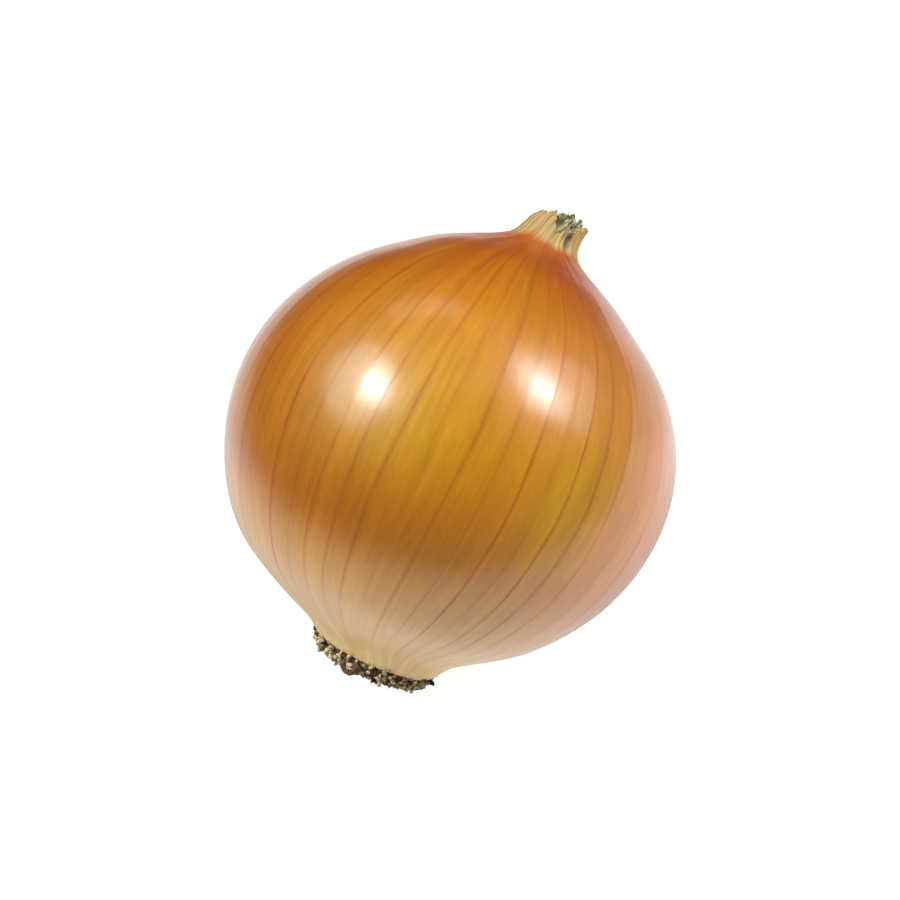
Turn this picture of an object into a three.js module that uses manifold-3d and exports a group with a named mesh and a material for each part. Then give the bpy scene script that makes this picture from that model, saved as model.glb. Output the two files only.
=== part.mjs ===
// A dry brown onion lying on its belly, neck raised, in millimetres with +Z up.
//
// Everything is made in the bulb's own frame first: it grew round the Y axis, y = 0 is the widest
// section, the neck is up at +Y and the roots are down at -Y. Longitude runs round the axis from
// +Z, the side that ends up facing the sky, towards +X.
// A group then lays the onion down, so that it rests on a small flat spot at the world's origin.

import * as THREE from "three";
import { mergeVertices } from "three/addons/utils/BufferGeometryUtils.js";
import Module from "manifold-3d";

const wasm = await Module();
wasm.setup();

// Driving dimensions of the bulb.
const BULB_RADIUS = 40; // the widest section, 80 mm across
const NECK_HALF = 36.1; // the outline is half an ellipse of this height above that section
const ROOT_HALF = 39.2; // and of this height below it
const SHOULDER_RADIUS = 25; // nearer the axis than this, the shoulder flares into the neck
const TAPER_RADIUS = 27; // nearer the axis than this, the belly tapers to the root plate
const NECK_RADIUS = 4.9;
const NECK_TOP = 44.2;
const SLEEVE_WALL = 1; // the papery leaf bases that wrap the neck
const SOCKET_FLOOR = 37.6; // the sleeve is open down to here
const SKIN_EDGE_RADIUS = 11.5; // where the skin ends, round the root plate
const SKIN_EDGE = -39.4;
const SKIN_EDGE_WALL = 0.6;
const RECESS_RADIUS = 10.8;
const RECESS_FLOOR = -37.4;
const GAP = 0.3; // between pieces that touch

// How the onion lies.
const AXIS_LIFT = THREE.MathUtils.degToRad(45.7); // the neck points this far above the horizon
const REST_FLAT_DEPTH = 0.85; // the belly is flattened this much where it rests

// The bulb grew a little crooked: at these heights along the axis, the middle of a section lies
// this far from the axis, towards one longitude.
const CROOKED_TOWARDS = THREE.MathUtils.degToRad(115);
const CENTRE_HEIGHTS = [-43, -38, -35, -30, -14, 0, 24, 34, 38.5, 43, 45.5];
const CENTRE_SHIFTS = [1, 0.5, -1.1, -2.1, -1.7, -1.3, -0.9, -1.3, -0.8, 0, 0.8];

// Swellings of the belly: how many round the bulb, their turn and their height.
const LOBES = [
  { waves: 2, turn: 0.6, height: 0.15 },
  { waves: 3, turn: 2.4, height: 0.15 },
  { waves: 5, turn: 1.1, height: 0.08 },
];

// The veins run from the roots to the neck as faint ridges and become the pleats of the neck.
const VEINS = 26;
const VEIN_TURN = THREE.MathUtils.degToRad(0.3); // longitude of the first vein
const VEIN_HEIGHT = 0.12;
const PLEAT_HEIGHT = 0.28;
const PLEAT_START = 32; // height along the axis where veins begin to turn into pleats
const VEIN_DRIFT = [
  { waves: 4, turn: 0.4, height: 0.02 },
  { waves: 7, turn: 2.9, height: 0.022 },
];

// The ragged lip of the neck: broad peaks, small teeth, a low stretch where the sleeve has broken
// off, and a tear beside it. Longitudes and half widths are in degrees.
const LIP_START = 38.4; // above this height the sleeve follows the lip up and down
const LIP_PEAKS = [
  { waves: 3, turn: 1.83, height: 0.45 },
  { waves: 8, turn: 0.9, height: 0.25 },
  { waves: 13, turn: 2.3, height: 0.2 },
];
const LIP_BREAKS = [
  { longitude: 38, halfWidth: 32, depth: 1.7 },
  { longitude: 66, halfWidth: 14, depth: 3 },
];

// The dried leaf ends that stand in the neck, in rings from the outside in.
const TUFT_PLUG_RADIUS = NECK_RADIUS - SLEEVE_WALL - GAP - 0.1;
const TUFT_PLUG_TOP = 41.8;
const LEAF_THICKNESS = 0.7;
// The last row stands only where the sleeve has broken off, between two longitudes in degrees.
const LEAF_RINGS = [
  { count: 6, radius: 2.8, top: 44.9, width: 2.5, flare: 0.5, from: 0, to: 360 },
  { count: 5, radius: 1.7, top: 46.2, width: 1.9, flare: 0.5, from: 0, to: 360 },
  { count: 2, radius: 0.5, top: 45.8, width: 1.5, flare: 0.5, from: 0, to: 360 },
  { count: 5, radius: 3, top: 45.9, width: 1.6, flare: 1, from: 20, to: 130 },
];
const LEAF_RAGGEDNESS = 1.1;
const FLARE_START = 43.5; // the ends lean out by their flare above this height

// The dead plate at the bottom and the stubs of the roots on it.
const PLATE_RADIUS = RECESS_RADIUS - GAP;
const PLATE_BOTTOM = -41.5;
const PLATE_EDGE = -40.6;
const ROOT_COUNT = 104;
const ROOT_FIELD = 0.97; // share of the plate's radius that carries roots
const ROOT_RADIUS = 0.7;
const ROOT_TIP = 0.6; // a tip is this much as thick as its foot
const ROOT_SIDES = 5;
const ROOT_LENGTHS = [1.9, 3.2]; // of which the first ROOT_SUNK is inside the plate
const ROOT_SUNK = 1.1;
const ROOT_SPLAY = THREE.MathUtils.degToRad(72); // how far the outermost roots turn outwards
const ROOT_UNRULINESS = 0.25; // radians more or less than that
const ROOT_BEND = 0.4;
const ROOT_CLEARANCE = 0.3; // roots stay this far above what the onion rests on

// One thicker root that has curled up into a ring at the edge of the plate.
const CURL_RADIUS = 1.3;
const CURL_THICKNESS = 0.6;
const CURL_LONGITUDE = THREE.MathUtils.degToRad(14);
const CURL_REACH = 9; // from the axis
const CURL_HEIGHT = -42.2;

const COLUMNS = 3 * VEINS; // a ridge and two hollows for every vein
const GOLDEN_ANGLE = Math.PI * (3 - Math.sqrt(5));
const SEED = 7;

// A repeatable random number from 0 to 1.
function makeRandom(seed) {
  let state = seed;
  return () => {
    state = (state + 0x6d2b79f5) | 0;
    let t = Math.imul(state ^ (state >>> 15), 1 | state);
    t = (t + Math.imul(t ^ (t >>> 7), 61 | t)) ^ t;
    return ((t ^ (t >>> 14)) >>> 0) / 4294967296;
  };
}

const between = (low, high, share) => low + (high - low) * share;
const sumOfWaves = (waves, angle) =>
  waves.reduce((sum, w) => sum + w.height * Math.sin(w.waves * angle + w.turn), 0);

// A closed mesh as a solid that can be joined and cut: shared corners are merged, and the
// triangles that a pole has squeezed to nothing are left out.
function toSolid(geometry) {
  const bare = geometry.clone();
  bare.deleteAttribute("normal");
  bare.deleteAttribute("uv");
  const merged = mergeVertices(bare, 1e-4);
  const corners = merged.index.array;
  const kept = [];
  for (let i = 0; i < corners.length; i += 3) {
    const [a, b, c] = [corners[i], corners[i + 1], corners[i + 2]];
    if (a !== b && b !== c && c !== a) kept.push(a, b, c);
  }
  return new wasm.Manifold(
    new wasm.Mesh({
      numProp: 3,
      vertProperties: merged.attributes.position.array,
      triVerts: new Uint32Array(kept),
    }),
  );
}

// A solid as a geometry that a mesh can show.
function toGeometry(solid) {
  const { vertProperties, triVerts } = solid.getMesh();
  const geometry = new THREE.BufferGeometry();
  geometry.setAttribute("position", new THREE.BufferAttribute(vertProperties, 3));
  geometry.setIndex(new THREE.BufferAttribute(triVerts, 1));
  geometry.computeVertexNormals();
  return geometry;
}

// Moves every corner of a geometry by a rule that is given the corner and changes it.
function shape(geometry, rule) {
  const position = geometry.attributes.position;
  const corner = new THREE.Vector3();
  for (let i = 0; i < position.count; i++) {
    corner.fromBufferAttribute(position, i);
    rule(corner);
    position.setXYZ(i, corner.x, corner.y, corner.z);
  }
  return geometry;
}

// The bulb's outline from the middle of the root recess, round the outside and over the lip of
// the neck, down into the socket that the leaf ends stand in.
function bulbOutline() {
  const shoulder = Math.acos(SHOULDER_RADIUS / BULB_RADIUS);
  const shoulderHeight = NECK_HALF * Math.sin(shoulder);
  const taper = Math.acos(TAPER_RADIUS / BULB_RADIUS);
  const taperHeight = -ROOT_HALF * Math.sin(taper);
  const socketRadius = NECK_RADIUS - SLEEVE_WALL;

  const recess = [
    new THREE.Vector2(0, RECESS_FLOOR),
    new THREE.Vector2(RECESS_RADIUS / 2, RECESS_FLOOR),
    new THREE.Vector2(RECESS_RADIUS, RECESS_FLOOR),
    new THREE.Vector2(SKIN_EDGE_RADIUS - SKIN_EDGE_WALL, SKIN_EDGE),
  ];
  const rootEnd = new THREE.SplineCurve([
    new THREE.Vector2(SKIN_EDGE_RADIUS, SKIN_EDGE),
    new THREE.Vector2(13.5, -37),
    new THREE.Vector2(17.2, -35),
    new THREE.Vector2(20.5, -33),
    new THREE.Vector2(TAPER_RADIUS, taperHeight),
  ]).getPoints(7);
  const rootHalf = new THREE.EllipseCurve(
    0, 0, BULB_RADIUS, ROOT_HALF, -taper, 0,
  ).getPoints(7);
  const neckHalf = new THREE.EllipseCurve(
    0, 0, BULB_RADIUS, NECK_HALF, 0, shoulder,
  ).getPoints(7);
  const flare = new THREE.SplineCurve([
    new THREE.Vector2(SHOULDER_RADIUS, shoulderHeight),
    new THREE.Vector2(18.1, 33),
    new THREE.Vector2(12.4, 36),
    new THREE.Vector2(8.4, 38),
    new THREE.Vector2(6, 40),
    new THREE.Vector2(NECK_RADIUS, NECK_TOP),
  ]).getPoints(12);
  const lip = [
    new THREE.Vector2(NECK_RADIUS - SLEEVE_WALL / 2, NECK_TOP + 0.3),
    new THREE.Vector2(socketRadius, NECK_TOP),
  ];
  const socket = [
    new THREE.Vector2(socketRadius, between(NECK_TOP, SOCKET_FLOOR, 0.4)),
    new THREE.Vector2(socketRadius, between(NECK_TOP, SOCKET_FLOOR, 0.8)),
    new THREE.Vector2(socketRadius, SOCKET_FLOOR),
    new THREE.Vector2(0, SOCKET_FLOOR),
  ];
  const skin = [...rootEnd, ...rootHalf.slice(1), ...neckHalf.slice(1), ...flare.slice(1)];
  return [...recess, ...skin, ...lip, ...socket];
}

// Moves every section of a geometry sideways, as the crooked bulb grew.
const centreLine = new THREE.CubicInterpolant(CENTRE_HEIGHTS, CENTRE_SHIFTS, 1);

function growCrooked(geometry) {
  return shape(geometry, (corner) => {
    const [shift] = centreLine.evaluate(corner.y);
    corner.x += shift * Math.sin(CROOKED_TOWARDS);
    corner.z += shift * Math.cos(CROOKED_TOWARDS);
  });
}

// How much higher or lower than NECK_TOP the lip of the sleeve is at a longitude.
function lipHeight(longitude) {
  const broken = LIP_BREAKS.reduce((depth, gap) => {
    const turned = longitude - THREE.MathUtils.degToRad(gap.longitude);
    const away = THREE.MathUtils.radToDeg(Math.abs(Math.atan2(Math.sin(turned), Math.cos(turned))));
    return depth + gap.depth * (1 - THREE.MathUtils.smoothstep(away, 0, gap.halfWidth));
  }, 0);
  return sumOfWaves(LIP_PEAKS, longitude) - broken;
}

// The outline turned round the axis, then given its swellings, its veins and the ragged lip.
function bulbGeometry() {
  const turned = new THREE.LatheGeometry(bulbOutline(), COLUMNS);
  return shape(turned, (corner) => {
    const radius = Math.hypot(corner.x, corner.z);
    if (radius < 1e-6) return;
    const column = Math.atan2(corner.x, corner.z);
    const longitude = column + VEIN_TURN + sumOfWaves(VEIN_DRIFT, column);
    const belly = THREE.MathUtils.smoothstep(radius, SKIN_EDGE_RADIUS, 0.7 * BULB_RADIUS);
    const neck = THREE.MathUtils.smoothstep(corner.y, PLEAT_START, NECK_TOP);
    const skin = radius > NECK_RADIUS - 0.1 && corner.y > SKIN_EDGE + 0.1 ? 1 : 0;
    const ridge = between(VEIN_HEIGHT, PLEAT_HEIGHT, neck) * Math.cos(VEINS * column);
    const raised = belly * sumOfWaves(LOBES, longitude) + skin * ridge;
    const lipShare = THREE.MathUtils.clamp((corner.y - LIP_START) / (NECK_TOP - LIP_START), 0, 1);
    corner.set(
      (radius + raised) * Math.sin(longitude),
      corner.y + lipShare * lipHeight(longitude),
      (radius + raised) * Math.cos(longitude),
    );
  });
}

// The frame in which the onion lies: its axis leans towards +X, longitude 0 faces the sky, and
// the lowest place of the belly comes just below the world's origin.
function layingMatrix() {
  const axis = new THREE.Vector3(Math.cos(AXIS_LIFT), 0, Math.sin(AXIS_LIFT));
  const skyward = new THREE.Vector3(-Math.sin(AXIS_LIFT), 0, Math.cos(AXIS_LIFT));
  const sideways = new THREE.Vector3().crossVectors(axis, skyward);
  const lying = new THREE.Matrix4().makeBasis(sideways, axis, skyward);

  const reach = Math.hypot(ROOT_HALF * axis.z, BULB_RADIUS * skyward.z);
  const lowestHeight = -(ROOT_HALF ** 2) * axis.z / reach;
  const lowestRadius = BULB_RADIUS ** 2 * skyward.z / reach;
  const [shift] = centreLine.evaluate(lowestHeight);
  const lowest = new THREE.Vector3(
    shift * Math.sin(CROOKED_TOWARDS),
    lowestHeight,
    shift * Math.cos(CROOKED_TOWARDS) - lowestRadius,
  ).applyMatrix4(lying);
  return lying.setPosition(-lowest.x, -lowest.y, -lowest.z - REST_FLAT_DEPTH);
}

// What lies lower than a clearance above the table, seen from the bulb's own frame.
function belowTable(clearance) {
  const width = 3 * BULB_RADIUS;
  const depth = BULB_RADIUS;
  const slab = new THREE.BoxGeometry(width, width, depth)
    .translate(0, 0, clearance - depth / 2)
    .applyMatrix4(layingMatrix().invert());
  return toSolid(slab);
}

function makeBulb() {
  const solid = toSolid(growCrooked(bulbGeometry())).subtract(belowTable(0));
  const skin = new THREE.MeshStandardMaterial({ color: 0xb4701c, roughness: 0.28, metalness: 0 });
  const mesh = new THREE.Mesh(toGeometry(solid), skin);
  mesh.name = "bulb";
  return mesh;
}

// One dried leaf end: a thin strip with a ragged top, curved round the axis at a radius.
function leafEnd({ radius, top, width, flare }, longitude, random) {
  const across = 4;
  const up = 4;
  const foot = SOCKET_FLOOR + 2 * GAP;
  const height = top - foot;
  const notches = Array.from({ length: across + 1 }, () => LEAF_RAGGEDNESS * (random() - 0.7));
  const strip = new THREE.BoxGeometry(width, height, LEAF_THICKNESS, across, up, 1);
  return shape(strip, (corner) => {
    const notch = notches[Math.round((corner.x / width + 0.5) * across)];
    const climb = corner.y / height + 0.5;
    const rise = foot + climb * (height + climb * notch);
    const lean = Math.max(0, (rise - FLARE_START) / (top - FLARE_START));
    const reach = radius + corner.z + flare * lean;
    const turn = longitude + corner.x / Math.max(radius, width);
    corner.set(reach * Math.sin(turn), rise, reach * Math.cos(turn));
  });
}

function makeNeckLeafEnds() {
  const random = makeRandom(SEED);
  const plugOutline = [
    new THREE.Vector2(0, SOCKET_FLOOR + GAP),
    new THREE.Vector2(TUFT_PLUG_RADIUS, SOCKET_FLOOR + GAP),
    new THREE.Vector2(TUFT_PLUG_RADIUS, TUFT_PLUG_TOP),
    new THREE.Vector2(TUFT_PLUG_RADIUS / 2, TUFT_PLUG_TOP + 0.5),
    new THREE.Vector2(0, TUFT_PLUG_TOP + 0.3),
  ];
  const pieces = [toSolid(growCrooked(new THREE.LatheGeometry(plugOutline, 24)))];
  LEAF_RINGS.forEach((ring, index) => {
    for (let i = 0; i < ring.count; i++) {
      const share = (i + 0.5 * (index % 2) + 0.3 * random()) / ring.count;
      const longitude = THREE.MathUtils.degToRad(between(ring.from, ring.to, share));
      pieces.push(toSolid(growCrooked(leafEnd(ring, longitude, random))));
    }
  });
  const dry = new THREE.MeshStandardMaterial({ color: 0xa39a72, roughness: 0.85, metalness: 0 });
  const mesh = new THREE.Mesh(toGeometry(wasm.Manifold.union(pieces)), dry);
  mesh.name = "neck_leaf_ends";
  return mesh;
}

// One root stub: a tapering rod from its foot at the origin up +Y, bent towards +X.
function rootStub(length, random) {
  const thick = ROOT_RADIUS * between(0.8, 1.15, random());
  const bend = ROOT_BEND * between(-1, 1, random());
  const rod = new THREE.CylinderGeometry(ROOT_TIP * thick, thick, length, ROOT_SIDES, 2);
  rod.translate(0, length / 2, 0);
  return shape(rod, (corner) => {
    corner.x += bend * (corner.y / length) ** 2;
  });
}

// The root stub with a number, in its place on the plate: they are spread like the seeds of a
// sunflower, upright in the middle and splayed at the edge.
function placedStub(index, random) {
  const reach = Math.sqrt((index + 0.5) / ROOT_COUNT);
  const length = between(...ROOT_LENGTHS, random());
  const tilt = ROOT_SPLAY * reach ** 2 + ROOT_UNRULINESS * between(-1, 1, random());
  const surface = between(PLATE_BOTTOM, PLATE_EDGE, reach ** 3);
  return rootStub(length, random)
    .translate(0, -ROOT_SUNK, 0)
    .rotateY(2 * Math.PI * random())
    .rotateX(Math.PI - tilt)
    .translate(0, surface, ROOT_FIELD * PLATE_RADIUS * reach)
    .rotateY(index * GOLDEN_ANGLE);
}

function makeRootPlate() {
  const random = makeRandom(SEED + 1);
  const plateOutline = [
    new THREE.Vector2(0, PLATE_BOTTOM),
    new THREE.Vector2(0.5 * PLATE_RADIUS, PLATE_BOTTOM + 0.15),
    new THREE.Vector2(0.88 * PLATE_RADIUS, PLATE_EDGE),
    new THREE.Vector2(PLATE_RADIUS, PLATE_EDGE + 0.9),
    new THREE.Vector2(PLATE_RADIUS, RECESS_FLOOR - GAP),
    new THREE.Vector2(0, RECESS_FLOOR - GAP),
  ];
  const curl = new THREE.TorusGeometry(CURL_RADIUS, CURL_THICKNESS, ROOT_SIDES + 1, 12)
    .translate(0, CURL_HEIGHT, CURL_REACH)
    .rotateY(CURL_LONGITUDE);
  const parts = [new THREE.LatheGeometry(plateOutline, 36), curl];
  for (let i = 0; i < ROOT_COUNT; i++) parts.push(placedStub(i, random));
  const pieces = parts.map((geometry) => toSolid(growCrooked(geometry)));
  const dead = new THREE.MeshStandardMaterial({ color: 0x6f5f49, roughness: 0.95, metalness: 0 });
  const solid = wasm.Manifold.union(pieces).subtract(belowTable(ROOT_CLEARANCE));
  const mesh = new THREE.Mesh(toGeometry(solid), dead);
  mesh.name = "root_plate";
  return mesh;
}

const lying = new THREE.Group();
layingMatrix().decompose(lying.position, lying.quaternion, lying.scale);
lying.add(makeBulb(), makeNeckLeafEnds(), makeRootPlate());

const onion = new THREE.Group();
onion.add(lying);

export default onion;
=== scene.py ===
"""A dry brown onion lying on its belly on a white table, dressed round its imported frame."""

import logging
import math
from dataclasses import dataclass, field
from enum import Enum
from typing import Any, Callable, Sequence

import bpy
import numpy as np
from mathutils import Matrix, Vector

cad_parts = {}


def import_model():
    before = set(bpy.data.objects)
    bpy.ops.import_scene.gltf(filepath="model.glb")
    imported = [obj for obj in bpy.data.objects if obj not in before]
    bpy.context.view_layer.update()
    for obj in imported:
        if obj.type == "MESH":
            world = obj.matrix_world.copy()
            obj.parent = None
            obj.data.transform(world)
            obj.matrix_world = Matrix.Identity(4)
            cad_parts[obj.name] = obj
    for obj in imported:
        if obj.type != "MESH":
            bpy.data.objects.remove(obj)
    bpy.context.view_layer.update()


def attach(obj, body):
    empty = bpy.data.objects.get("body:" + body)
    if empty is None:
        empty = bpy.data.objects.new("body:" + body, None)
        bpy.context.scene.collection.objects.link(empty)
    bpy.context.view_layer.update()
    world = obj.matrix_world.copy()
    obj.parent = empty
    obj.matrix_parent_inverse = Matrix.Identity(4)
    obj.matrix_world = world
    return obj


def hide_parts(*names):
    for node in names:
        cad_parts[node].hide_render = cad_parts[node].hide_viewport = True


LOG = logging.getLogger("onion")
MM = 0.001
FRAME_PIXELS = 900

# Blender's own names for a material's nodes and for what goes in and out of them.
Tree = bpy.types.NodeTree
Socket = bpy.types.NodeSocket
# A wave round the bulb: how many go round, their turn in radians, and their height.
Wave = tuple[float, float, float]
# A place on a colour ramp, or a height on the bulb in millimetres, and its sRGB hex colour.
Stop = tuple[float, str]
# A radius and a height, or the low and the high end of a range.
Pair = tuple[float, float]


def hex_to_linear(text: str) -> tuple[float, float, float, float]:
    """Turns an sRGB colour into Blender's linear colour.

    Args:
        text: six hex digits, with or without a leading hash.

    Returns:
        Linear red, green and blue, and an alpha of 1.
    """
    text = text.lstrip("#")
    parts = [int(text[i : i + 2], 16) / 255 for i in (0, 2, 4)]
    linear = [c / 12.92 if c <= 0.04045 else ((c + 0.055) / 1.055) ** 2.4 for c in parts]
    return (linear[0], linear[1], linear[2], 1.0)


def add_node(tree: Tree, kind: str, settings: dict[str, Any] | None = None,
             links: dict[str, Socket] | None = None) -> bpy.types.Node:
    """Adds a node to a tree with its settings and the links into it.

    Args:
        tree: the material's or world's node tree.
        kind: the node's type name without the leading ShaderNode.
        settings: values by name; a name in square brackets sets the input of that name or
            number, and any other name sets a property of the node.
        links: sockets of other nodes by the name or number of the input that they feed.

    Returns:
        The new node.
    """
    node = tree.nodes.new("ShaderNode" + kind)
    for name, value in (settings or {}).items():
        if name.startswith("["):
            key = name[1:-1]
            node.inputs[int(key) if key.isdigit() else key].default_value = value
        else:
            setattr(node, name, value)
    for name, socket in (links or {}).items():
        tree.links.new(socket, node.inputs[int(name) if name.isdigit() else name])
    return node


def set_ramp(node: bpy.types.Node, stops: Sequence[Stop]) -> None:
    """Gives a colour ramp its stops.

    Args:
        node: the colour ramp.
        stops: position from 0 to 1 and sRGB hex colour, in rising order.
    """
    elements = node.color_ramp.elements
    while len(elements) > 1:
        elements.remove(elements[-1])
    elements[0].position = stops[0][0]
    elements[0].color = hex_to_linear(stops[0][1])
    for position, colour in stops[1:]:
        elements.new(position).color = hex_to_linear(colour)


def new_material(name: str) -> tuple[bpy.types.Material, Tree]:
    """Makes a material with no nodes in it yet, and gives its node tree too."""
    made = bpy.data.materials.new(name)
    made.use_nodes = True
    made.node_tree.nodes.clear()
    return made, made.node_tree


def remap(tree: Tree, value: Socket, span: Pair, onto: Pair = (0.0, 1.0),
          settings: dict[str, Any] | None = None) -> Socket:
    """Maps a span of values onto another one and clamps what lies outside.

    Args:
        tree: the node tree.
        value: the value to be mapped.
        span: the values that become the two ends of the other span.
        onto: what they become.
        settings: more settings of the node, by name.

    Returns:
        The mapped value.
    """
    return add_node(tree, "MapRange", {
        "[From Min]": span[0], "[From Max]": span[1], "[To Min]": onto[0], "[To Max]": onto[1],
        **(settings or {}),
    }, {"Value": value}).outputs[0]


def product(tree: Tree, *values: Socket) -> Socket:
    """Multiplies two or more values, in their order."""
    total = values[0]
    for value in values[1:]:
        total = add_node(tree, "Math", {"operation": "MULTIPLY"},
                         {"0": total, "1": value}).outputs[0]
    return total


def noise(tree: Tree, place: Socket, scale: float, detail: float,
          roughness: float = 0.5) -> Socket:
    """Makes a noise pattern, with values round 0.5.

    Args:
        tree: the node tree.
        place: where in the pattern each point of the surface lies.
        scale: how many swells of the pattern there are in a unit of place.
        detail: how many finer patterns are laid over it.
        roughness: how strong the finer patterns are.

    Returns:
        The pattern.
    """
    return add_node(tree, "TexNoise", {"[Scale]": scale, "[Detail]": detail,
                                       "[Roughness]": roughness}, {"Vector": place}).outputs["Fac"]


def tinted(tree: Tree, colour: Socket, tint: str, share: Socket) -> Socket:
    """Mixes a share of an sRGB hex colour into a colour."""
    return add_node(tree, "Mix", {"data_type": "RGBA", "[7]": hex_to_linear(tint)},
                    {"0": share, "6": colour}).outputs[2]


def smoothstep(low: float, high: float, value: np.ndarray) -> np.ndarray:
    """Rises smoothly from 0 at low to 1 at high."""
    share = np.clip((value - low) / (high - low), 0.0, 1.0)
    return share * share * (3.0 - 2.0 * share)


def ripple(waves: Sequence[Wave], angle: np.ndarray) -> np.ndarray:
    """Adds up waves at an angle round the bulb, in radians."""
    return sum(height * np.sin(count * angle + turn) for count, turn, height in waves)


def spline_points(stations: Sequence[Pair], per_span: int) -> np.ndarray:
    """Runs a smooth curve through the stations of an outline.

    Args:
        stations: radius and height of each station.
        per_span: points made from each station to the next.

    Returns:
        An array of radius and height, ending on the last station.
    """
    points = np.array(stations, float)
    padded = np.vstack([points[0], points, points[-1]])
    share = np.linspace(0, 1, per_span, endpoint=False)[:, None]
    rows = []
    for before, start, end, after in zip(padded, padded[1:], padded[2:], padded[3:]):
        leave, arrive = (end - before) / 2, (after - start) / 2
        rows.append(
            (2 * start - 2 * end + leave + arrive) * share**3
            + (-3 * start + 3 * end - 2 * leave - arrive) * share**2
            + leave * share
            + start
        )
    rows.append(points[-1:])
    return np.vstack(rows)


def soften(line: np.ndarray, step: float, spread: float) -> np.ndarray:
    """Smooths the corners out of an even outline and keeps its two ends.

    Args:
        line: radius and height of evenly spaced points.
        step: the distance between them.
        spread: how far the smoothing reaches.

    Returns:
        The smoothed outline.
    """
    reach = int(3 * spread / step)
    weights = np.exp(-0.5 * (np.arange(-reach, reach + 1) * step / spread) ** 2)
    weights /= weights.sum()
    start = 2 * line[0] - line[reach:0:-1]
    end = 2 * line[-1] - line[-2 : -reach - 2 : -1]
    padded = np.vstack([start, line, end])
    return np.stack([np.convolve(padded[:, i], weights, "valid") for i in (0, 1)], axis=1)


def evenly(points: np.ndarray, spacing: Callable[[np.ndarray], np.ndarray]) -> np.ndarray:
    """Spreads points along an outline at a spacing that may change along it.

    Args:
        points: a dense outline of radius and height.
        spacing: gives the wished distance between points for each point.

    Returns:
        The outline with its points respaced, its two ends kept.
    """
    steps = np.linalg.norm(np.diff(points, axis=0), axis=1)
    middles = (points[1:] + points[:-1]) / 2
    load = np.concatenate([[0], np.cumsum(steps / spacing(middles))])
    wanted = np.linspace(0, load[-1], int(round(load[-1])) + 1)
    return np.stack([np.interp(wanted, load, points[:, i]) for i in (0, 1)], axis=1)


@dataclass(frozen=True)
class Growth:
    """The bulb's own frame, in millimetres, and how it lies on the table.

    The axis is +Y, the widest section is at 0, the neck is up and the roots are down. Longitude
    runs round the axis from +Z, the side that faces the sky, towards +X.
    """

    bulb_radius: float = 40.0
    neck_half: float = 36.1
    root_half: float = 39.2
    axis_lift: float = math.radians(45.7)
    rest_flat_depth: float = 0.85
    clearance: float = 0.3
    crooked_towards: float = math.radians(115.0)
    centre_heights: tuple[float, ...] = (-43, -38, -35, -30, -14, 0, 24, 34, 38.5, 43, 45.5)
    centre_shifts: tuple[float, ...] = (1, 0.5, -1.1, -2.1, -1.7, -1.3, -0.9, -1.3, -0.8, 0, 0.8)

    def centre_shift(self, height: np.ndarray) -> np.ndarray:
        """How far the middle of a section lies from the straight axis at a height.

        Args:
            height: heights up the axis, in millimetres.

        Returns:
            The distance at each height, in millimetres, by a smooth curve.
        """
        at = np.array(self.centre_heights)
        value = np.array(self.centre_shifts)
        slope = np.diff(value) / np.diff(at)
        lean = np.concatenate([[0], (slope[1:] + slope[:-1]) / 2, [0]])
        clamped = np.clip(height, at[0], at[-1])
        span = np.clip(np.searchsorted(at, clamped, side="right") - 1, 0, len(at) - 2)
        width = at[span + 1] - at[span]
        t = (clamped - at[span]) / width
        return (
            (2 * t**3 - 3 * t**2 + 1) * value[span]
            + (t**3 - 2 * t**2 + t) * width * lean[span]
            + (3 * t**2 - 2 * t**3) * value[span + 1]
            + (t**3 - t**2) * width * lean[span + 1]
        )

    def basis(self) -> np.ndarray:
        """Turns the bulb's frame into the world's.

        Returns:
            A matrix whose columns are where the bulb's X, Y and Z point in the world.
        """
        axis = np.array([math.cos(self.axis_lift), 0, math.sin(self.axis_lift)])
        skyward = np.array([-math.sin(self.axis_lift), 0, math.cos(self.axis_lift)])
        return np.stack([np.cross(axis, skyward), axis, skyward], axis=1)

    def origin(self) -> np.ndarray:
        """Places the bulb so that its lowest spot is pressed flat on the table.

        Returns:
            Where the middle of the widest section lies in the world, in millimetres.
        """
        sine, cosine = math.sin(self.axis_lift), math.cos(self.axis_lift)
        reach = math.hypot(self.root_half * sine, self.bulb_radius * cosine)
        height = -self.root_half**2 * sine / reach
        radius = self.bulb_radius**2 * cosine / reach
        shift = float(self.centre_shift(np.array([height]))[0])
        lowest = self.basis() @ np.array([
            shift * math.sin(self.crooked_towards),
            height,
            shift * math.cos(self.crooked_towards) - radius,
        ])
        return np.array([-lowest[0], -lowest[1], -lowest[2] - self.rest_flat_depth])

    def to_world(self, points: np.ndarray) -> np.ndarray:
        """Takes points from the bulb's frame, made crooked as it grew, to the world.

        Args:
            points: an array of x, y and z in the bulb's frame, in millimetres.

        Returns:
            The points in the world, in metres.
        """
        shift = self.centre_shift(points[:, 1])
        grown = points.copy()
        grown[:, 0] += shift * math.sin(self.crooked_towards)
        grown[:, 2] += shift * math.cos(self.crooked_towards)
        return (grown @ self.basis().T + self.origin()) * MM

    def round_axis(self, radius: np.ndarray, height: np.ndarray,
                   longitude: np.ndarray) -> np.ndarray:
        """Points in the bulb's frame from radius, height and longitude."""
        return np.stack([radius * np.sin(longitude), height, radius * np.cos(longitude)], axis=-1)


class RootTone(Enum):
    """What a dead root's surface is like, as a place on the finish's scale of tones."""

    CREAM = 0.1
    GREY_GREEN = 0.4
    BROWN = 0.68
    DARK = 0.92
    CUT_END = 0.0


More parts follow.
